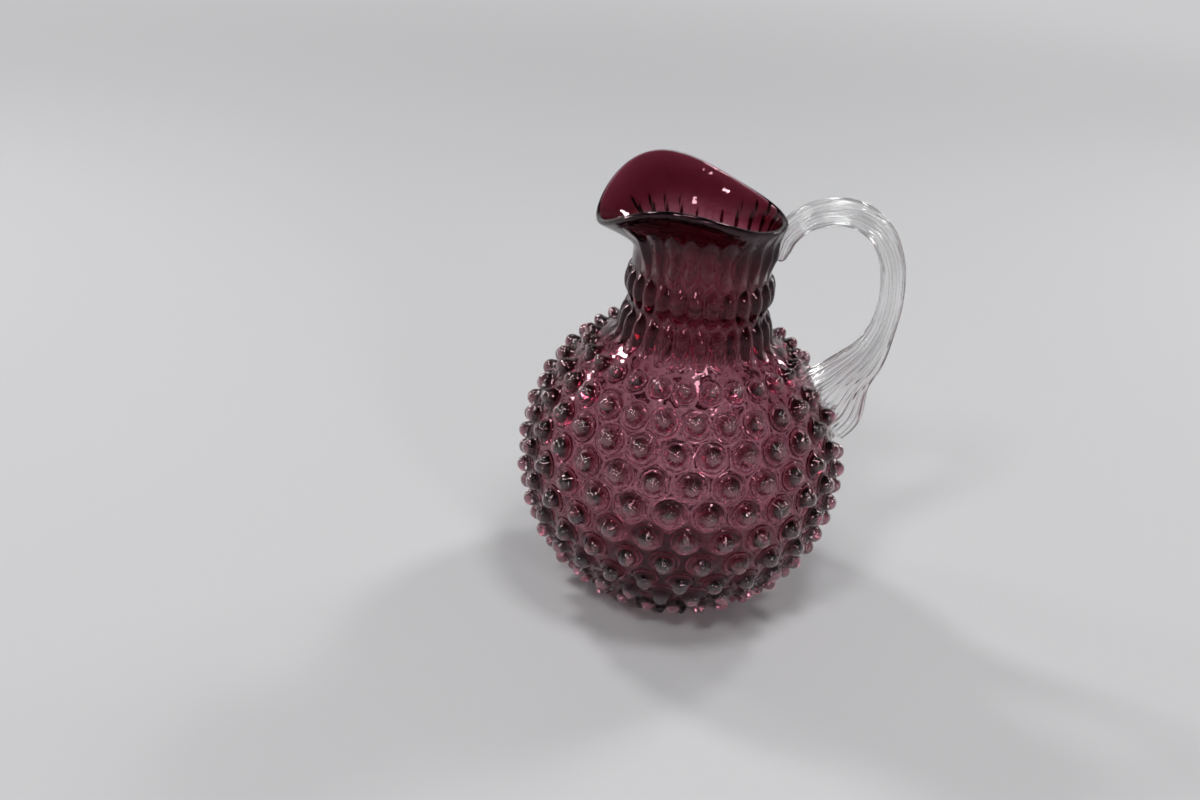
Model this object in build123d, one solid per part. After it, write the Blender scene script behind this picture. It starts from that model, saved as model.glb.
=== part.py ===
"""Hobnail glass jug: a mould-blown round body with studs all over, a pulled lip and a reeded handle.

The glass is built as a glassmaker builds it. A thin amethyst bubble (amethyst_lining) is cased in clear
glass (hobnail_casing), whose outside the mould sets with rings of hobnails. A reeded clear rod
(reeded_handle) is stuck to the shoulder and to the neck while hot.
Millimetres, +Z up, origin at the centre of the standing face, spout towards -X, handle towards +X.
"""

import os
from math import acos, asin, atan2, cos, hypot, pi, radians, sin, sqrt

from build123d import *

# Body wall, a ball with a flat foot
BODY_RADIUS = 85.0
BODY_CENTRE_Z = 79.0
CASING_THICKNESS = 3.4
LINING_THICKNESS = 1.6
BASE_THICKNESS = 8.0

# Neck
NECK_RADIUS = 37.5
SHOULDER_FILLET = 14.0
COLLAR_Z = 200.0
COLLAR_STEP = 0.2

# Lip: reach from the axis and height at the spout, the sides and the back
SPOUT_REACH, SPOUT_Z = 59.0, 215.5
FRONT_QUARTER_REACH, FRONT_QUARTER_Z = 58.2, 233.5
SIDE_REACH, SIDE_Z = 51.2, 234.0
BACK_QUARTER_REACH, BACK_QUARTER_Z = 44.1, 223.5
BACK_REACH, BACK_Z = 43.0, 220.5
LIP_SECTIONS = 16
LINING_STOP = 2.2
LIP_CLEARANCE = 0.1

# Hobnails
NAILS_PER_RING = 26
NAIL_HEIGHT = 7.0
NAIL_BASE_RADIUS = 8.4
NAIL_TIP_RADIUS = 2.9
NAIL_SINK = 1.2
NAIL_TURN = -3.5
RING_LATITUDES = (-57.5, -47.5, -37.0, -26.5, -15.9, -5.3, 5.1, 15.5, 26.2, 37.0)
NAIL_GAP = 0.8
SHOULDER_RING_LATITUDE = 49.0
SHOULDER_NAIL_HEIGHT = 5.0
NECK_RING_Z = (161.0, 182.5)
NECK_NAIL_HEIGHT = 3.2
NECK_NAIL_LENGTH = 16.0
COLLAR_RING_Z = 203.5
COLLAR_NAIL_HEIGHT = 2.8
COLLAR_NAIL_LENGTH = 14.0
SPOUT_PLAIN_ANGLE = 30.0

# Handle: centre line (x, z), then half thickness in the plane of the handle and half width across it
HANDLE_STATIONS = (
    ((40.4, 199.2), 3.9, 4.6),
    ((41.3, 205.0), 5.8, 6.2),
    ((43.2, 212.0), 6.8, 7.0),
    ((49.5, 219.6), 7.0, 7.4),
    ((59.0, 224.9), 7.5, 7.6),
    ((69.5, 226.8), 7.8, 7.7),
    ((80.5, 225.4), 7.7, 7.7),
    ((90.0, 220.0), 7.4, 7.6),
    ((97.5, 211.5), 7.1, 7.4),
    ((102.6, 199.5), 6.9, 7.2),
    ((105.0, 186.0), 6.8, 7.1),
    ((105.0, 172.5), 6.9, 7.1),
    ((102.4, 158.5), 7.8, 7.6),
    ((97.0, 144.5), 10.8, 8.8),
    ((87.6, 131.5), 15.0, 10.8),
    ((79.0, 117.5), 23.5, 12.6),
    ((72.0, 109.5), 24.5, 13.0),
)
REEDS = 24
REED_DEPTH = 0.45
FULL_REED_SIZE = 7.0
NAIL_CLEARANCE = 0.3

WALL = CASING_THICKNESS + LINING_THICKNESS


def section_face(points_and_edges):
    """A face on the XZ plane from a closed chain of edges."""
    return make_face(Wire(points_and_edges))


def bulb(depth, bottom_z):
    """The solid of the ball, shoulder and neck, set in by depth from the outside, flat at bottom_z."""
    ball = BODY_RADIUS - depth
    neck = NECK_RADIUS - depth
    fillet = SHOULDER_FILLET + depth
    fillet_x = neck + fillet
    fillet_z = BODY_CENTRE_Z + sqrt((ball + fillet) ** 2 - fillet_x**2)
    join = ball / (ball + fillet)
    join_x, join_z = fillet_x * join, BODY_CENTRE_Z + (fillet_z - BODY_CENTRE_Z) * join
    foot_x = sqrt(ball**2 - (BODY_CENTRE_Z - bottom_z) ** 2)
    mid_angle = (asin((bottom_z - BODY_CENTRE_Z) / ball) + asin((join_z - BODY_CENTRE_Z) / ball)) / 2
    bend = (pi + atan2(join_z - fillet_z, join_x - fillet_x) % (2 * pi)) / 2
    chain = [
        Line((0, 0, bottom_z), (foot_x, 0, bottom_z)),
        ThreePointArc(
            (foot_x, 0, bottom_z),
            (ball * cos(mid_angle), 0, BODY_CENTRE_Z + ball * sin(mid_angle)),
            (join_x, 0, join_z),
        ),
        ThreePointArc(
            (join_x, 0, join_z),
            (fillet_x + fillet * cos(bend), 0, fillet_z + fillet * sin(bend)),
            (neck, 0, fillet_z),
        ),
        Line((neck, 0, fillet_z), (neck, 0, COLLAR_Z)),
        Line((neck, 0, COLLAR_Z), (0, 0, COLLAR_Z)),
        Line((0, 0, COLLAR_Z), (0, 0, bottom_z)),
    ]
    return revolve(section_face(chain), axis=Axis.Z)


def lip_end(turn):
    """Reach and height of the lip at turn degrees from the spout, by a smooth cosine series."""
    reach = cosine_series((SPOUT_REACH, FRONT_QUARTER_REACH, SIDE_REACH, BACK_QUARTER_REACH, BACK_REACH))
    height = cosine_series((SPOUT_Z, FRONT_QUARTER_Z, SIDE_Z, BACK_QUARTER_Z, BACK_Z))
    return reach(turn), height(turn)


def cosine_series(values):
    """The even curve through values at equal steps from 0 to 180 degrees."""
    steps = len(values) - 1
    weights = [0.5 if i in (0, steps) else 1.0 for i in range(steps + 1)]

    def strength(k):
        total = sum(w * v * cos(pi * k * i / steps) for i, (w, v) in enumerate(zip(weights, values)))
        return total * 2 / steps * weights[k]

    strengths = [strength(k) for k in range(steps + 1)]
    return lambda turn: sum(s * cos(k * radians(turn)) for k, s in enumerate(strengths))


def lip_outside(turn):
    """Control points (reach, height) of the outer face of the lip at turn degrees from the spout."""
    reach, height = lip_end(turn)
    neck = NECK_RADIUS - COLLAR_STEP
    rise, spread = height - COLLAR_Z, reach - neck
    return [
        (neck, COLLAR_Z),
        (neck, COLLAR_Z + 0.5 * rise),
        (reach - 0.42 * spread, height - 0.32 * rise),
        (reach, height),
    ]


def bezier_point(points, t):
    """Position and inward normal on a cubic at share t of its way."""
    weights = ((1 - t) ** 3, 3 * t * (1 - t) ** 2, 3 * t**2 * (1 - t), t**3)
    x = sum(w * p[0] for w, p in zip(weights, points))
    z = sum(w * p[1] for w, p in zip(weights, points))
    slopes = (-3 * (1 - t) ** 2, 3 * (1 - t) ** 2 - 6 * t * (1 - t), 6 * t * (1 - t) - 3 * t**2, 3 * t**2)
    dx = sum(w * p[0] for w, p in zip(slopes, points))
    dz = sum(w * p[1] for w, p in zip(slopes, points))
    size = hypot(dx, dz)
    return (x, z), (-dz / size, dx / size)


def lip_face(turn, outer_depth, inner_depth, stop):
    """The slice of the lip's wall between two depths at turn degrees, rounded where it ends."""
    control = lip_outside(turn)
    length = sum(hypot(b[0] - a[0], b[1] - a[1]) for a, b in zip(control, control[1:]))
    last = 1 - (stop + (inner_depth - outer_depth) / 2) / length
    outside, inside = [], []
    for share in (0, 0.33, 0.67, 1):
        (x, z), (nx, nz) = bezier_point(control, last * share)
        outside.append((x + nx * outer_depth, 0, z + nz * outer_depth))
        inside.append((x + nx * inner_depth, 0, z + nz * inner_depth))
    (x, z), (nx, nz) = bezier_point(control, last)
    middle, half = (outer_depth + inner_depth) / 2, (inner_depth - outer_depth) / 2
    crown = (x + nx * middle + nz * half, 0, z + nz * middle - nx * half)
    chain = [
        Spline(*outside),
        ThreePointArc(outside[-1], crown, inside[-1]),
        Spline(*reversed(inside)),
        Line(inside[0], outside[0]),
    ]
    return section_face(chain).rotate(Axis.Z, 180 - turn)


def lip(outer_depth, inner_depth, stop=0.0):
    """The flared lip, lofted round the axis through slices and mirrored about the plane of the handle."""
    slices = [
        lip_face(180 * i / LIP_SECTIONS, outer_depth, inner_depth, stop) for i in range(LIP_SECTIONS + 1)
    ]
    half = loft(slices)
    return half, mirror(half, Plane.XZ)


def nail(base_radius, height, tip_radius):
    """One hobnail on +Z: a low skirt, a steep flank and a ball tip, sunk a little into the wall."""
    knee_x, knee_z = 0.62 * base_radius, 0.3 * height
    ball_z = height - tip_radius
    reach = hypot(knee_x, ball_z - knee_z)
    touch = atan2(knee_z - ball_z, knee_x) + acos(tip_radius / reach)
    touch_x, touch_z = tip_radius * cos(touch), ball_z + tip_radius * sin(touch)
    crown = (pi / 2 + touch) / 2
    chain = [
        Line((0, 0, -NAIL_SINK), (base_radius, 0, -NAIL_SINK)),
        Line((base_radius, 0, -NAIL_SINK), (knee_x, 0, knee_z)),
        Line((knee_x, 0, knee_z), (touch_x, 0, touch_z)),
        ThreePointArc(
            (touch_x, 0, touch_z),
            (tip_radius * cos(crown), 0, ball_z + tip_radius * sin(crown)),
            (0, 0, height),
        ),
        Line((0, 0, height), (0, 0, -NAIL_SINK)),
    ]
    return revolve(section_face(chain), axis=Axis.Z)


def spindle(radius, length):
    """One hobnail drawn out with the neck: an upright spindle on Z, to be set half in the wall."""
    half = length / 2
    chain = [
        ThreePointArc((0, 0, -half), (radius, 0, 0), (0, 0, half)),
        Line((0, 0, half), (0, 0, -half)),
    ]
    return revolve(section_face(chain), axis=Axis.Z)


def ring_angles(ring):
    """Turns of the hobnails of one ring, each ring half a step round from the last."""
    step = 360 / NAILS_PER_RING
    return [NAIL_TURN + (column + ring % 2 / 2) * step for column in range(NAILS_PER_RING)]


def body_nails():
    """The rings of hobnails on the ball and shoulder."""
    placed = []
    latitudes = RING_LATITUDES + (SHOULDER_RING_LATITUDE,)
    for ring, latitude in enumerate(latitudes):
        room = 2 * BODY_RADIUS * cos(radians(latitude)) * sin(pi / NAILS_PER_RING)
        base_radius = min(NAIL_BASE_RADIUS, (room - NAIL_GAP) / 2)
        share = base_radius / NAIL_BASE_RADIUS
        top = latitude == SHOULDER_RING_LATITUDE
        height = SHOULDER_NAIL_HEIGHT if top else NAIL_HEIGHT * (0.4 + 0.6 * share)
        shape = nail(base_radius, height, NAIL_TIP_RADIUS * share**0.5)
        shape = Pos(0, 0, BODY_RADIUS) * shape
        shape = shape.rotate(Axis.Y, 90 - latitude)
        shape = Pos(0, 0, BODY_CENTRE_Z) * shape
        placed += [shape.rotate(Axis.Z, turn) for turn in ring_angles(ring)]
    return placed


def neck_nails():
    """The rings of drawn-out hobnails on the neck and collar, with the spout's flare left plain."""
    shape = spindle(NECK_NAIL_HEIGHT + NAIL_SINK, NECK_NAIL_LENGTH)
    placed = []
    ring = len(RING_LATITUDES) + 1
    for height in NECK_RING_Z:
        seat = Pos(NECK_RADIUS - NAIL_SINK, 0, height) * shape
        placed += [seat.rotate(Axis.Z, turn) for turn in ring_angles(ring)]
        ring += 1
    seat = Pos(NECK_RADIUS, 0, COLLAR_RING_Z) * spindle(COLLAR_NAIL_HEIGHT, COLLAR_NAIL_LENGTH)
    turns = [turn for turn in ring_angles(ring) if abs(turn % 360 - 180) > SPOUT_PLAIN_ANGLE]
    return placed + [seat.rotate(Axis.Z, turn) for turn in turns]


def reed_section(middle, along, half_thickness, half_width):
    """A scalloped oval face, square to the direction along, in which the reeds of the rod show."""
    plane = Plane(
        origin=(middle[0], 0, middle[1]), x_dir=(-along[1], 0, along[0]), z_dir=(along[0], 0, along[1])
    )
    reed_depth = REED_DEPTH * min(1, half_thickness / half_width, half_thickness / FULL_REED_SIZE)

    def point(turn, depth):
        return plane.from_local_coords(
            Vector((half_thickness - depth) * cos(turn), (half_width - depth) * sin(turn), 0)
        )

    step = 2 * pi / REEDS
    grooves = [point((k - 0.5) * step, reed_depth) for k in range(REEDS + 1)]
    crests = [point(k * step, 0) for k in range(REEDS)]
    arcs = [ThreePointArc(*through) for through in zip(grooves, crests, grooves[1:])]
    return make_face(Wire(arcs))


def rod():
    """The handle before it meets the body: reeded sections lofted along the centre line."""
    middles = [station[0] for station in HANDLE_STATIONS]
    last = len(middles) - 1
    sections = []
    for i, (middle, half_thickness, half_width) in enumerate(HANDLE_STATIONS):
        before, after = middles[max(i - 1, 0)], middles[min(i + 1, last)]
        size = hypot(after[0] - before[0], after[1] - before[1])
        along = ((after[0] - before[0]) / size, (after[1] - before[1]) / size)
        sections.append(reed_section(middle, along, half_thickness, half_width))
    return loft(sections)


def biggest(shape):
    """The largest solid of a shape."""
    return max(shape.solids(), key=lambda solid: solid.volume)


def clear_of(handle, nails):
    """The nails that the handle leaves standing: where it was stuck on, it took their place."""
    box = handle.bounding_box()
    kept = []
    for one in nails:
        own = one.bounding_box()
        beside = own.min.Y > box.max.Y or own.max.Y < box.min.Y
        apart = beside or own.max.X < box.min.X or own.max.Z < box.min.Z
        if apart or one.distance_to(handle) > NAIL_CLEARANCE:
            kept.append(one)
    return kept


def main():
    """Builds the three glasses and writes one file for each."""
    os.makedirs("parts", exist_ok=True)
    plain = bulb(0, 0)
    clear_lip = lip(0, CASING_THICKNESS)
    handle = biggest(rod() - plain - clear_lip[0] - clear_lip[1])
    studded = plain.fuse(*clear_of(handle, body_nails() + neck_nails()))
    casing = (studded - bulb(CASING_THICKNESS, BASE_THICKNESS - LINING_THICKNESS)).fuse(*clear_lip)
    lining = bulb(CASING_THICKNESS, BASE_THICKNESS - LINING_THICKNESS) - bulb(WALL, BASE_THICKNESS)
    lining = lining.fuse(*lip(CASING_THICKNESS + LIP_CLEARANCE, WALL, LINING_STOP))
    parts = {"hobnail_casing": casing, "amethyst_lining": lining, "reeded_handle": handle}
    for name, shape in parts.items():
        print(name, "solids", len(shape.solids()), "valid", shape.is_valid, "volume", round(shape.volume))
        export_step(shape, f"parts/{name}.step")


main()
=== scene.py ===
"""A hobnail glass jug: clear glass cased over amethyst, with a pulled lip and an applied reeded handle.

Metres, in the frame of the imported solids: +Z up, the foot on z = 0, spout towards -X, handle towards +X.
"""

import bpy
import numpy as np
from mathutils import Matrix, Vector


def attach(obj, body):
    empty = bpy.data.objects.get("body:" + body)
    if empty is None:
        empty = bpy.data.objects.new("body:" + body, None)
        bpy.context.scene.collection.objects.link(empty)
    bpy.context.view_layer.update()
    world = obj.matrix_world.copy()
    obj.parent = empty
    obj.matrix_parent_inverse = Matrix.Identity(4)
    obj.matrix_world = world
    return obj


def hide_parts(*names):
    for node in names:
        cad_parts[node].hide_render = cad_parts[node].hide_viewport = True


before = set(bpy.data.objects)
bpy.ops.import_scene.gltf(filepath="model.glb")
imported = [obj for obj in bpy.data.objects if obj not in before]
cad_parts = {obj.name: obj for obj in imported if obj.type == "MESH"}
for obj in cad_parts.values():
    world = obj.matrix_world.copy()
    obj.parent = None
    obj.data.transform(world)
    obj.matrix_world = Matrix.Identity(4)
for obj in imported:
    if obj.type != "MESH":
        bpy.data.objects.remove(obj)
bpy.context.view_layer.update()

# The clear casing. A gather of clear glass over the coloured bubble, blown into a mould that sets rings of
# hobnails all over it, then reheated and pulled at the mouth into a flared lip. It is drawn here as the
# whole thickness of the wall, from the nails to the cavity, with the amethyst embedded in it.
body_radius = 0.085
body_centre = 0.079
neck_radius = 0.0375
shoulder_fillet = 0.014
collar_height = 0.200
wall = 0.005
base_thickness = 0.008
rim_thickness = 0.0036
rim_taper = 0.009
foot_corner = 0.004
cavity_corner = 0.016
lip_length = 0.040
lip_reach = (0.0590, 0.0582, 0.0512, 0.0441, 0.0430)
lip_height = (0.2155, 0.2335, 0.2340, 0.2235, 0.2205)
lip_upright = 0.5
lip_lean = (0.42, 0.32)

nails_per_ring = 26
nail_turn = np.radians(-3.5)
nail_height = 0.007
nail_base_radius = 0.0084
knob_radius = 0.0050
skirt_radius = 0.0072
skirt_share = 0.16
least_height_share = 0.4
nail_variation = 0.03
nail_gap = 0.0008
ring_latitudes = np.radians((-57.5, -47.5, -37.0, -26.5, -15.9, -5.3, 5.1, 15.5, 26.2, 37.0, 49.0))
neck_ring_heights = (0.161, 0.1825, 0.2060)
neck_nail_heights = (0.0040, 0.0033, 0.0029)
neck_nail_lengths = (0.0085, 0.0085, 0.0125)
neck_nail_width = 0.0092
neck_nail_edges = (0.7, 0.7, 2.1)
neck_nearness = (0.6, 0.3)
handle_foot_latitudes = np.radians((12, 45))
handle_foot_turn = np.radians(13)
handle_end_turn = np.radians(12)
spout_turn = np.radians(150)

steps_per_nail = 14
profile_steps = 4000
first_share = 0.02
far_from_nails = 2
azimuth = np.arange(nails_per_ring * steps_per_nail) * 2 * np.pi / (nails_per_ring * steps_per_nail)


def bulb_profile(depth, floor, corner):
    """Radius and height from the axis over the foot and up the ball, shoulder and neck, set in by depth.

    Four runs are joined: the flat at height floor, an arc of the ball round its centre, a hollow arc of the
    shoulder that touches ball and neck, and a straight neck. A moving average over the length corner then
    rounds the edge of the foot.
    """
    ball, neck, fillet = body_radius - depth, neck_radius - depth, shoulder_fillet + depth
    fillet_radius = neck + fillet
    fillet_height = body_centre + np.sqrt((ball + fillet) ** 2 - fillet_radius**2)
    join = np.arccos(fillet_radius / (ball + fillet))
    ball_turn = np.linspace(np.arcsin((floor - body_centre) / ball), join, 400)
    fillet_turn = np.linspace(np.pi + join, np.pi, 100)
    across = [[0], ball * np.cos(ball_turn), fillet_radius + fillet * np.cos(fillet_turn), [neck]]
    up = [[floor], body_centre + ball * np.sin(ball_turn), fillet_height + fillet * np.sin(fillet_turn)]
    shares = np.linspace(0, 1, profile_steps + 1)
    line = share_out(np.concatenate(across), np.concatenate(up + [[collar_height]]), shares)
    reach = int(corner / 2 / np.hypot(*np.diff(line)[:, 0]))
    before = 2 * line[:, :1] - line[:, reach:0:-1]
    after = 2 * line[:, -1:] - line[:, -2 : -2 - reach : -1]
    window = np.ones(2 * reach + 1) / (2 * reach + 1)
    padded = np.concatenate([before, line, after], axis=1)
    return np.array([np.convolve(values, window, "valid") for values in padded])


def share_out(radius, height, shares):
    """Points on a line of (radius, height), each at its share of the length along it, as two rows."""
    length = np.concatenate([[0], np.cumsum(np.hypot(np.diff(radius), np.diff(height)))])
    length /= length[-1]
    return np.array([np.interp(shares, length, radius), np.interp(shares, length, height)])


def round_the_lip(values, turn):
    """The even curve through the values, spout to back: a sum of cosines of 0, 1, 2, ... times the turn."""
    waves = np.arange(len(values))
    strengths = np.linalg.solve(np.cos(np.outer(waves, waves) * np.pi / waves[-1]), values)
    return np.cos(np.outer(turn, waves)) @ strengths


def lip_surface(turn, depths, shares):
    """Radius and height of the lip, one row for each share of its way up and one column for each turn.

    The outside is a cubic that leaves the neck upright and leans out to the lip's reach and height at that
    turn. Its two handles are lip_upright and lip_lean, as shares of its rise and spread. Each point is then
    moved in, square to the cubic, by the depth of its row.
    """
    reach, height = round_the_lip(lip_reach, turn), round_the_lip(lip_height, turn)
    rise, spread = height - collar_height, reach - neck_radius
    along = np.array([0, 0, 1 - lip_lean[0], 1])[:, None] * spread + neck_radius
    up = np.array([0, lip_upright, 1 - lip_lean[1], 1])[:, None] * rise + collar_height
    t = np.asarray(shares)[:, None]
    blend = np.array([(1 - t) ** 3, 3 * t * (1 - t) ** 2, 3 * t**2 * (1 - t), t**3])
    slope = np.array([-3 * (1 - t) ** 2, 3 * (1 - t) * (1 - 3 * t), 3 * t * (2 - 3 * t), 3 * t**2])
    radius, z = (blend * along[:, None]).sum(0), (blend * up[:, None]).sum(0)
    d_radius, d_z = (slope * along[:, None]).sum(0), (slope * up[:, None]).sum(0)
    size = np.hypot(d_radius, d_z)
    depth = np.asarray(depths)[:, None]
    return np.array([radius - depth * d_z / size, z + depth * d_radius / size])


def nail_relief(radius, height):
    """How far the nails stand out at each point of the plain wall, and how near the point is to a nail.

    On the ball each nail is a round knob, (1 - x^2.2)^0.6 over its radius, on a low skirt, exp(-x^6) over
    its own, with the distance measured along the ball. Both shrink in rings too short for nails of full
    size. On the neck it is a plain dome, drawn out upright. The second result is the distance to the
    nearest nail, on the ball as a share of the radius of its base and on the neck from 0.6 up. Nails
    differ by a few hundredths. Those where the handle was stuck on are left out, and also the collar's
    under the spout.
    """
    step = 2 * np.pi / nails_per_ring
    latitude = np.arctan2(height - body_centre, radius)
    relief, nearness = np.zeros(radius.shape), np.full(radius.shape, float(far_from_nails))
    for ring in range(len(ring_latitudes) + len(neck_ring_heights)):
        count = (azimuth - nail_turn) / step - ring % 2 / 2
        nearest = np.round(count)
        across = (count - nearest) * step * radius
        own = 1 - nail_variation * (1 - np.sin(2.4 * nearest + 1.7 * ring))
        turn = (nail_turn + (nearest + ring % 2 / 2) * step + np.pi) % (2 * np.pi) - np.pi
        if ring < len(ring_latitudes):
            where = ring_latitudes[ring]
            room = 2 * body_radius * np.cos(where) * np.sin(np.pi / nails_per_ring)
            share = min(nail_base_radius, (room - nail_gap) / 2) / nail_base_radius
            away = np.hypot(across, body_radius * (latitude - where)) / share
            knob = (1 - np.minimum(1, away / knob_radius) ** 2.2) ** 0.6
            skirt = np.exp(-((away / skirt_radius) ** 6))
            size = nail_height * (least_height_share + (1 - least_height_share) * share)
            bell = size * ((1 - skirt_share) * knob + skirt_share * skirt)
            away /= nail_base_radius
            beside_foot = handle_foot_latitudes[0] < where < handle_foot_latitudes[1]
            bare = beside_foot & (abs(turn) < handle_foot_turn)
        else:
            up = ring - len(ring_latitudes)
            off_ring = (height - neck_ring_heights[up]) / neck_nail_lengths[up]
            away = np.hypot(across / neck_nail_width * 2, off_ring)
            bell = neck_nail_heights[up] * (1 - np.minimum(1, away) ** 2) ** neck_nail_edges[up]
            away = neck_nearness[0] + neck_nearness[1] * away
            on_collar = neck_ring_heights[up] > collar_height
            bare = on_collar & ((abs(turn) < handle_end_turn) | (abs(turn) > spout_turn))
        relief += np.where(bare, 0, own * bell)
        nearness = np.minimum(nearness, np.where(bare, far_from_nails, away))
    return relief, nearness


def closed_mesh(name, places, ends, turned_round=False):
    """A smooth closed mesh from a grid of points, in rows round a tube, and the two points of its ends.

    Each quad joins two neighbours of a row to the two beside them in the next, and a fan of triangles
    joins the first and the last row to their ends. Where the rows would leave the faces looking inwards,
    turned_round lists each face's corners backwards from its first.
    """
    rows, around = places.shape[:2]
    row, column = np.mgrid[0 : rows - 1, 0:around]
    here = row * around + column
    beside = row * around + (column + 1) % around
    quads = np.stack([here, beside, beside + around, here + around], -1).reshape(-1, 4)
    first, second = here[0], beside[0]
    last = (rows - 1) * around
    start = np.stack([second, first, 0 * first + rows * around], -1)
    end = np.stack([last + first, last + second, 0 * first + rows * around + 1], -1)
    faces = [quads, start, end]
    if turned_round:
        faces = [np.roll(corners[:, ::-1], 1, axis=1) for corners in faces]
    mesh = bpy.data.meshes.new(name)
    points = np.concatenate([places.reshape(-1, 3), ends])
    mesh.from_pydata(points, [], [face for corners in faces for face in corners.tolist()])
    mesh.shade_smooth()
    return mesh


def turned_mesh(name, surface, bottom, top):
    """A closed mesh from rows of (radius, height), one column for each azimuth round the axis.

    Rows run from the end at height bottom, up the outside and back down the inside to the end at top.
    """
    radius, height = surface
    places = np.stack([radius * np.cos(azimuth), radius * np.sin(azimuth), height], -1)
    return closed_mesh(name, places, [[0, 0, bottom], [0, 0, top]])


def shown(mesh, material):
    """An object at the origin that shows the mesh in its material."""
    piece = bpy.data.objects.new(mesh.name, mesh)
    bpy.context.scene.collection.objects.link(piece)
    mesh.materials.append(material)
    return piece


rim_share = 1 - rim_thickness / 2 / lip_length


def wall_depth(shares):
    """The wall's thickness up the lip: even, then drawn down to the rim's over the length rim_taper."""
    return np.interp((rim_share - np.asarray(shares)) * lip_length, [0, rim_taper], [rim_thickness, wall])


def all_round(line):
    """The line of (radius, height) repeated once for each azimuth."""
    return np.asarray(line)[:, :, None] + 0 * azimuth


def casing_wall():
    """Rows of the wall's whole outside and inside, from the middle of the foot to the middle of the floor.

    Outside rows are set so that each ring of nails falls on a row, with steps_per_nail rows from ring to
    ring. The rim is half a turn from the outside to the inside of the lip. The second result is the
    nearness to a nail along the outside.
    """
    dense = bulb_profile(0, 0, foot_corner)
    ball_rings = body_centre + body_radius * np.sin(ring_latitudes)
    ring_heights = np.concatenate([ball_rings, neck_ring_heights[:-1]])
    stops = np.concatenate([[0], np.searchsorted(dense[1], ring_heights) / profile_steps, [1]])
    first = np.linspace(first_share, 1, steps_per_nail + 2)[:-1] * stops[1]
    steps = np.arange(steps_per_nail, steps_per_nail * (len(stops) - 1)) / steps_per_nail
    shares = np.interp(steps, np.arange(len(stops)), stops)
    bulb = all_round(share_out(*dense, np.concatenate([first, shares])))

    turn = np.pi - azimuth
    lip_shares = np.linspace(0, rim_share, 18)
    studded = np.concatenate([bulb, lip_surface(turn, 0 * lip_shares, lip_shares)], axis=1)
    slope = np.gradient(studded, axis=1)
    slope /= np.hypot(*slope)
    relief, nearness = nail_relief(*studded)
    studded += relief * np.array([slope[1], -slope[0]])

    edges = [lip_surface(turn, [depth], [rim_share]) for depth in (0, rim_thickness)]
    middle, across = (edges[0] + edges[1]) / 2, (edges[1] - edges[0]) / 2
    over = np.array([across[1], -across[0]])
    half_turn = np.linspace(0, np.pi, 9)[1:-1, None]
    rim = middle - across * np.cos(half_turn) + over * np.sin(half_turn)

    inside_shares = np.linspace(rim_share, 0, 10)
    lip_in = lip_surface(turn, wall_depth(inside_shares), inside_shares)
    cavity_profile = bulb_profile(wall, base_thickness, cavity_corner)
    cavity = share_out(*cavity_profile, np.linspace(first_share, 1, 28)[:-1])
    return np.concatenate([studded, rim, lip_in, all_round(cavity[:, ::-1])], axis=1), nearness


def glass(name, colour, roughest):
    """Clear polished glass with faint smears, where a coarse noise makes it up to roughest."""
    material = bpy.data.materials.new(name)
    material.use_nodes = True
    nodes, links = material.node_tree.nodes, material.node_tree.links
    shader = nodes["Principled BSDF"]
    shader.inputs["Base Color"].default_value = (*colour, 1)
    shader.inputs["Transmission Weight"].default_value = 1
    shader.inputs["IOR"].default_value = 1.5
    place = nodes.new("ShaderNodeTexCoord")
    smears = nodes.new("ShaderNodeTexNoise")
    smears.inputs["Scale"].default_value = 35
    roughness = nodes.new("ShaderNodeMapRange")
    roughness.inputs["From Min"].default_value = 0.4
    roughness.inputs["From Max"].default_value = 0.75
    roughness.inputs["To Min"].default_value = roughest / 4
    roughness.inputs["To Max"].default_value = roughest
    links.new(place.outputs["Object"], smears.inputs["Vector"])
    links.new(smears.outputs["Fac"], roughness.inputs["Value"])
    links.new(roughness.outputs["Result"], shader.inputs["Roughness"])
    return material


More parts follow.
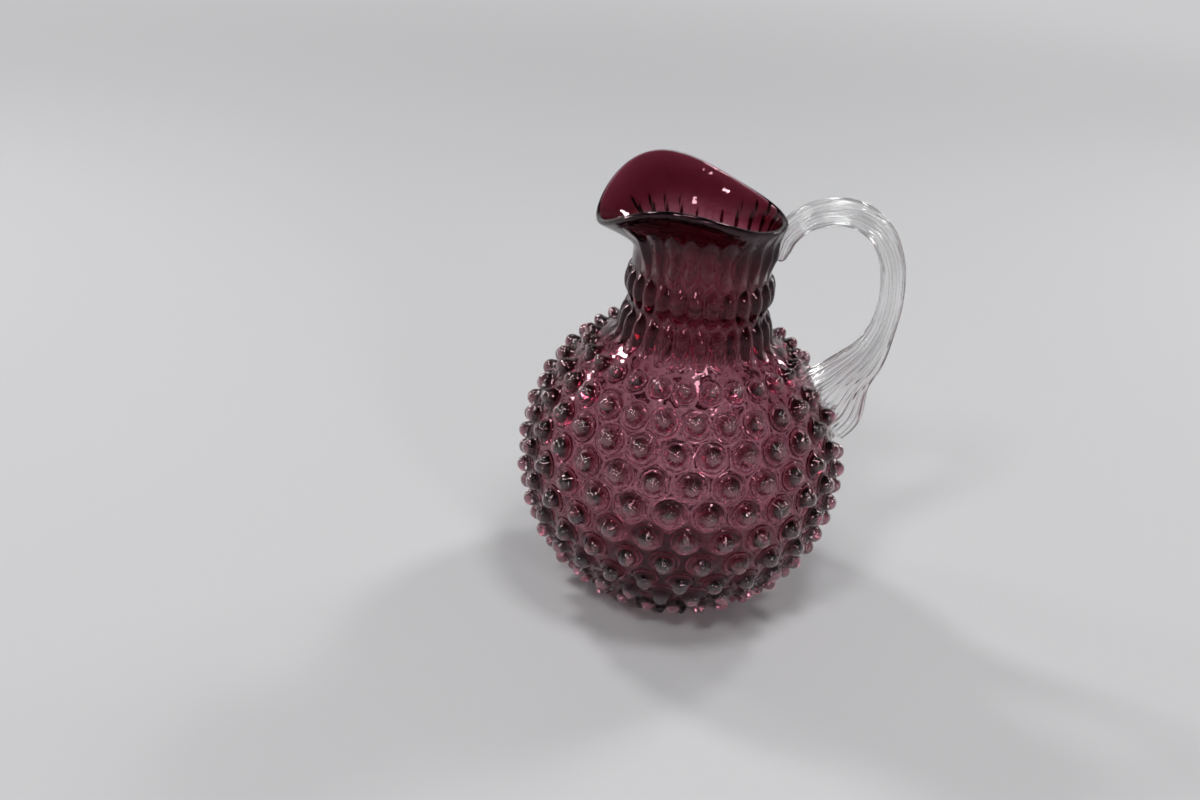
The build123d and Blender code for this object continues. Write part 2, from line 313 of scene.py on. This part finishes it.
def add_cast_skin(material):
    """The skin of mould-blown glass.

    A bump for slow waves and a step at each nail's edge, and on the nails of the ball a brighter top coat
    with a finer grain, which breaks up the light as the mould's rough hollows do there. Its reflections are
    tinted rose, a painted reflection colour.
    """
    nodes, links = material.node_tree.nodes, material.node_tree.links
    shader, place = nodes["Principled BSDF"], nodes["Texture Coordinate"]
    # Painted reflection: the casing's reflections are tinted rose, so its highlights and the floor mirrored
    # in it show pink.
    shader.inputs["Specular Tint"].default_value = (1, 0.55, 0.65, 1)
    shader.inputs["Coat IOR"].default_value = 1.8
    shader.inputs["Coat Roughness"].default_value = 0.08
    waves = nodes.new("ShaderNodeTexNoise")
    waves.inputs["Scale"].default_value = 70
    nearness = nodes.new("ShaderNodeAttribute")
    nearness.attribute_name = "nearness"
    edge = nodes.new("ShaderNodeMapRange")
    edge.interpolation_type = "SMOOTHSTEP"
    edge.inputs["From Min"].default_value = 1.0
    edge.inputs["From Max"].default_value = 0.88
    edge.inputs["To Max"].default_value = 1.3
    skin = nodes.new("ShaderNodeMath")
    skin.operation = "ADD"
    bump = nodes.new("ShaderNodeBump")
    bump.inputs["Strength"].default_value = 0.7
    bump.inputs["Distance"].default_value = 0.001
    on_nail = nodes.new("ShaderNodeMapRange")
    on_nail.interpolation_type = "SMOOTHSTEP"
    on_nail.inputs["From Min"].default_value = 0.6
    on_nail.inputs["From Max"].default_value = 0.4
    grain = nodes.new("ShaderNodeTexNoise")
    grain.inputs["Scale"].default_value = 650
    grain.inputs["Detail"].default_value = 2
    sparkle = nodes.new("ShaderNodeBump")
    sparkle.inputs["Strength"].default_value = 1
    sparkle.inputs["Distance"].default_value = 0.001
    links.new(place.outputs["Object"], waves.inputs["Vector"])
    links.new(nearness.outputs["Fac"], edge.inputs["Value"])
    links.new(waves.outputs["Fac"], skin.inputs[0])
    links.new(edge.outputs["Result"], skin.inputs[1])
    links.new(skin.outputs["Value"], bump.inputs["Height"])
    links.new(bump.outputs["Normal"], shader.inputs["Normal"])
    links.new(nearness.outputs["Fac"], on_nail.inputs["Value"])
    links.new(on_nail.outputs["Result"], shader.inputs["Coat Weight"])
    links.new(place.outputs["Object"], grain.inputs["Vector"])
    links.new(grain.outputs["Fac"], sparkle.inputs["Height"])
    links.new(sparkle.outputs["Normal"], shader.inputs["Coat Normal"])


clear_glass = glass("clear_glass", (0.985, 0.965, 0.975), 0.03)
add_cast_skin(clear_glass)
wall_surface, nail_nearness = casing_wall()
casing = shown(turned_mesh("hobnail_glass_wall", wall_surface, 0, base_thickness), clear_glass)
mesh_nearness = np.full(len(casing.data.vertices), float(far_from_nails))
mesh_nearness[: nail_nearness.size] = nail_nearness.ravel()
casing.data.attributes.new("nearness", "FLOAT", "POINT").data.foreach_set("value", mesh_nearness)
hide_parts("hobnail_casing")
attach(casing, "root")

# The amethyst lining. The first gather, a thin bubble of manganese-purple glass, which lies inside the
# clear wall close to the cavity and ends a little below the rim. It has no faces to the air of its own,
# so light goes straight through it and only takes its colour. It is a little thicker under each nail, a
# painted shade that darkens each nail's middle, and thicker up the neck and the lip, where the lip's
# extra colour is a painted shade that makes it dark.
lining_thickness = 0.0008
nail_shade_share = 0.14
neck_nail_shade_share = 0.55
neck_lining_thickness = 0.0019
# Painted shade: the lining up the lip is this thick so that the lip renders dark.
lip_shade_lining_thickness = 0.0042
lining_inset = 0.0004
lining_end = 0.975
shoulder_start = 0.135
shoulder_height = 0.035
neck_start = 0.150


def lining_side(depth, neck_depth, lip_depth, floor):
    """One side of the lining, from the middle of the floor to its end in the lip.

    It follows the wall at depth below its outside. Up the shoulder it eases over, as the square of a sine,
    to neck_depth, and up the lip to lip_depth, so the neck takes more colour and the lip more still. The
    lip's extra colour is painted shade, which makes the lip dark.
    """
    bulb = share_out(*bulb_profile(depth, floor, cavity_corner), np.linspace(first_share, 1, 150))
    ease = np.sin(np.clip((bulb[1] - shoulder_start) / shoulder_height, 0, 1) * np.pi / 2) ** 2
    bulb[0] += (depth - neck_depth) * ease
    shares = np.linspace(0, lining_end, 18)[1:]
    ease = np.sin(np.minimum(1, 2 * shares) * np.pi / 2) ** 2
    depths = wall_depth(shares) / wall * (neck_depth + (lip_depth - neck_depth) * ease)
    lip = lip_surface(np.pi - azimuth, depths, shares)
    return np.concatenate([all_round(bulb), lip], axis=1)


amethyst_glass = bpy.data.materials.new("amethyst_glass")
amethyst_glass.use_nodes = True
nodes, links = amethyst_glass.node_tree.nodes, amethyst_glass.node_tree.links
nodes.remove(nodes["Principled BSDF"])
clear = nodes.new("ShaderNodeBsdfTransparent")
dye = nodes.new("ShaderNodeVolumeAbsorption")
dye.inputs["Color"].default_value = (0.52, 0.0, 0.15, 1)
dye.inputs["Density"].default_value = 1080
links.new(clear.outputs["BSDF"], nodes["Material Output"].inputs["Surface"])
links.new(dye.outputs["Volume"], nodes["Material Output"].inputs["Volume"])

inner_depth = wall - lining_inset
inner_floor = base_thickness - lining_inset
outer_floor = inner_floor - lining_thickness
outer_side = lining_side(
    inner_depth - lining_thickness,
    inner_depth - neck_lining_thickness,
    inner_depth - lip_shade_lining_thickness,
    outer_floor,
)
outward = outer_side - [[[0]], [[body_centre]]]
# Painted shade: under each nail the lining bulges outwards, so the nails' middles render darker.
share = np.where(outer_side[1] < neck_start, nail_shade_share, neck_nail_shade_share)
outer_side += share * nail_relief(*outer_side)[0] * outward / np.hypot(*outward)
# The inner side is plain, so it runs back down on every third row.
inner_side = lining_side(inner_depth, inner_depth, inner_depth, inner_floor)[:, ::-3]
lining_surface = np.concatenate([outer_side, inner_side], axis=1)
lining = shown(turned_mesh("amethyst_bubble", lining_surface, outer_floor, inner_floor), amethyst_glass)
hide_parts("amethyst_lining")
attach(lining, "root")

# The reeded handle. A gather of clear glass, ribbed in an optic mould and pulled into a rod. Its thick end
# is pressed on the shoulder, the rod is looped up, and its thin end is stuck under the lip and bent down.
# Each station is how far out and how high its middle lies, its half thickness and its half width.
handle_stations = np.array(
    (
        (40.3, 197.6, 1.9, 2.3),
        (40.4, 199.2, 3.9, 4.6),
        (41.3, 205.0, 5.8, 6.2),
        (43.2, 212.0, 6.8, 7.0),
        (49.5, 219.6, 7.0, 7.4),
        (59.0, 224.9, 7.5, 7.6),
        (69.5, 226.8, 7.8, 7.7),
        (80.5, 225.4, 7.7, 7.7),
        (90.0, 220.0, 7.4, 7.6),
        (97.5, 211.5, 7.1, 7.4),
        (102.6, 199.5, 6.9, 7.2),
        (105.0, 186.0, 6.8, 7.1),
        (105.0, 172.5, 6.9, 7.1),
        (102.4, 158.5, 7.8, 7.6),
        (97.0, 144.5, 10.8, 8.8),
        (87.6, 131.5, 15.0, 10.8),
        (79.0, 117.5, 23.5, 12.6),
        (72.0, 109.5, 24.5, 13.0),
    )
) / 1000
steps_along = 260
steps_per_reed = 8
reeds = 24
reed_depth = 0.0012
full_reeds_from = 0.007
end_rings = np.array([0.9, 0.75, 0.5, 0.25])
seat_depth = 0.0010
seats_apart_at = 0.155


def through_stations(stations, count):
    """Values along the stations: cubics from each to the next, whose slopes follow their neighbours."""
    way = np.linspace(0, len(stations) - 1, count)
    before = np.minimum(way.astype(int), len(stations) - 2)
    t = (way - before)[:, None]
    slopes = np.gradient(stations, axis=0)
    return (
        (2 * t**3 - 3 * t**2 + 1) * stations[before]
        + (t**3 - 2 * t**2 + t) * slopes[before]
        + (3 * t**2 - 2 * t**3) * stations[before + 1]
        + (t**3 - t**2) * slopes[before + 1]
    )


def handle_mesh():
    """A rod of reeded ovals along its centre line, with what would sink in the jug pressed onto it.

    At each step the section is an oval square to the line, in half thickness and half width. Its rim is
    drawn in between reeds by one less the size of a cosine, and less where the rod is thin. Rings shrink
    to a point over each end. Points inside the ball or the neck are moved straight out to just under its
    surface.
    """
    line = through_stations(handle_stations, steps_along)
    turn = np.arange(reeds * steps_per_reed) * 2 * np.pi / (reeds * steps_per_reed)
    along = np.gradient(line[:, :2], axis=0)
    along /= np.hypot(along[:, 0], along[:, 1])[:, None]
    depth = reed_depth * np.minimum(1, line[:, 2] / full_reeds_from)[:, None]
    groove = depth * (1 - abs(np.cos(reeds * turn / 2)))
    thick, wide = (line[:, 2:3] - groove) * np.cos(turn), (line[:, 3:4] - groove) * np.sin(turn)
    x = line[:, 0:1] - thick * along[:, 1:2]
    z = line[:, 1:2] + thick * along[:, 0:1]
    places = np.stack([x, wide, z], -1)
    shrink = end_rings[:, None, None]
    start, end = places[0].mean(0), places[-1].mean(0)
    over_start = start + shrink[::-1] * (places[0] - start)
    over_end = end + shrink * (places[-1] - end)
    places = np.concatenate([over_start, places, over_end])
    flat = np.concatenate([places.reshape(-1, 3), [start, end]])

    from_centre = flat - (0, 0, body_centre)
    reach = np.linalg.norm(from_centre, axis=1)
    press = np.maximum(1, (body_radius - seat_depth) / reach)[:, None]
    flat = np.where(flat[:, 2:3] < seats_apart_at, from_centre * press + (0, 0, body_centre), flat)
    reach = np.hypot(flat[:, 0], flat[:, 1])
    press = np.maximum(1, (neck_radius - seat_depth) / reach)[:, None]
    flat[:, :2] = np.where(flat[:, 2:3] > seats_apart_at, flat[:, :2] * press, flat[:, :2])
    rod, ends = flat[:-2].reshape(places.shape), flat[-2:]
    return closed_mesh("reeded_glass_handle", rod, ends, turned_round=True)


handle_glass = glass("handle_glass", (0.99, 0.99, 0.99), 0.20)
handle_shader = handle_glass.node_tree.nodes["Principled BSDF"]
handle_shader.inputs["Coat Weight"].default_value = 1
handle_shader.inputs["Coat IOR"].default_value = 1.8
handle_shader.inputs["Coat Roughness"].default_value = 0.08
handle = shown(handle_mesh(), handle_glass)
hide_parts("reeded_handle")
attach(handle, "root")

# The studio: a pale floor and room, and soft lamps. Far from the jug, what the camera sees of the floor,
# also in and through glass, is one even pale colour, so that it runs into the room without a horizon.
floor_reach = 9
lamps_aim = Vector((0, 0, 0.11))

floor_mesh = bpy.data.meshes.new("studio_floor")
floor_corners = [(floor_reach * x, floor_reach * y, 0) for x, y in ((-1, -1), (1, -1), (1, 1), (-1, 1))]
floor_mesh.from_pydata(floor_corners, [], [(0, 1, 2, 3)])
pale = bpy.data.materials.new("pale_floor")
pale.use_nodes = True
nodes, links = pale.node_tree.nodes, pale.node_tree.links
near_floor = nodes["Principled BSDF"]
near_floor.inputs["Base Color"].default_value = (0.56, 0.56, 0.57, 1)
near_floor.inputs["Roughness"].default_value = 0.7
far_floor = nodes.new("ShaderNodeEmission")
far_floor.inputs["Color"].default_value = (0.60, 0.60, 0.61, 1)
place = nodes.new("ShaderNodeTexCoord")
distance = nodes.new("ShaderNodeVectorMath")
distance.operation = "LENGTH"
farness = nodes.new("ShaderNodeMapRange")
farness.interpolation_type = "SMOOTHSTEP"
farness.inputs["From Min"].default_value = 0.5
farness.inputs["From Max"].default_value = 1.7
light_path = nodes.new("ShaderNodeLightPath")
camera_or_glossy = nodes.new("ShaderNodeMath")
camera_or_glossy.operation = "MAXIMUM"
is_seen = nodes.new("ShaderNodeMath")
is_seen.operation = "MAXIMUM"
far_and_seen = nodes.new("ShaderNodeMath")
far_and_seen.operation = "MULTIPLY"
mix = nodes.new("ShaderNodeMixShader")
links.new(place.outputs["Object"], distance.inputs[0])
links.new(distance.outputs["Value"], farness.inputs["Value"])
links.new(light_path.outputs["Is Camera Ray"], camera_or_glossy.inputs[0])
links.new(light_path.outputs["Is Glossy Ray"], camera_or_glossy.inputs[1])
links.new(camera_or_glossy.outputs["Value"], is_seen.inputs[0])
links.new(light_path.outputs["Is Transmission Ray"], is_seen.inputs[1])
links.new(is_seen.outputs["Value"], far_and_seen.inputs[0])
links.new(farness.outputs["Result"], far_and_seen.inputs[1])
links.new(far_and_seen.outputs["Value"], mix.inputs["Fac"])
links.new(near_floor.outputs["BSDF"], mix.inputs[1])
links.new(far_floor.outputs["Emission"], mix.inputs[2])
links.new(mix.outputs["Shader"], nodes["Material Output"].inputs["Surface"])
shown(floor_mesh, pale)

room = bpy.data.worlds.new("pale_room")
bpy.context.scene.world = room
room.use_nodes = True
nodes, links = room.node_tree.nodes, room.node_tree.links
direction = nodes.new("ShaderNodeTexCoord")
parts = nodes.new("ShaderNodeSeparateXYZ")
level = nodes.new("ShaderNodeMapRange")
level.inputs["From Max"].default_value = 0.55
level.inputs["To Min"].default_value = 0.62
level.inputs["To Max"].default_value = 0.05
links.new(direction.outputs["Generated"], parts.inputs["Vector"])
links.new(parts.outputs["Z"], level.inputs["Value"])
links.new(level.outputs["Result"], nodes["Background"].inputs["Strength"])
nodes["Background"].inputs["Color"].default_value = (0.95, 0.95, 0.97, 1)


def soft_lamp(name, place, size, watts):
    """A square lamp of this side length and power at place, facing the middle of the jug."""
    lamp = bpy.data.lights.new(name, "AREA")
    lamp.size = size
    lamp.energy = watts
    holder = bpy.data.objects.new(name, lamp)
    holder.location = place
    holder.rotation_euler = (lamps_aim - Vector(place)).to_track_quat("-Z", "Y").to_euler()
    bpy.context.scene.collection.objects.link(holder)


soft_lamp("back left", (-0.8, 0.9, 1.3), 0.25, 9)
soft_lamp("back right", (0.9, 0.8, 1.2), 0.25, 7)
soft_lamp("front", (-0.6, -0.9, 1.3), 0.25, 7)
soft_lamp("top", (0.15, -0.35, 1.6), 0.35, 7)
soft_lamp("low left", (-1.0, 0.6, 0.5), 0.18, 2)
soft_lamp("low right", (1.0, 0.8, 0.5), 0.18, 2)
soft_lamp("low front", (0.35, -1.1, 0.6), 0.18, 2.5)

# The camera, fitted to the photograph: its turn, tilt and lean in degrees, and the pixel where the middle
# of the ball falls in the photograph's frame.
frame_width, frame_height = 1200, 800
body_column, body_row = 680.5, 452.5
lens, sensor_width = 54, 36
camera_turn, camera_tilt, camera_lean = -6, 26.25, 5.2
camera_distance = 1.012

camera = bpy.data.objects.new("camera", bpy.data.cameras.new("camera"))
camera.data.lens = lens
camera.data.sensor_width = sensor_width
turn = Matrix.Rotation(np.radians(camera_turn), 3, "Z")
tilt = Matrix.Rotation(np.radians(90 - camera_tilt), 3, "X")
lean = Matrix.Rotation(np.radians(camera_lean), 3, "Z")
looking = turn @ tilt @ lean
focal_pixels = frame_width * lens / sensor_width
sideways, upwards = body_column - frame_width / 2, frame_height / 2 - body_row
body_ray = Vector((sideways / focal_pixels, upwards / focal_pixels, -1)).normalized()
camera.matrix_world = looking.to_4x4()
camera.location = Vector((0, 0, body_centre)) - looking @ body_ray * camera_distance
bpy.context.scene.collection.objects.link(camera)
bpy.context.scene.camera = camera
bpy.context.scene.view_settings.view_transform = "Standard"
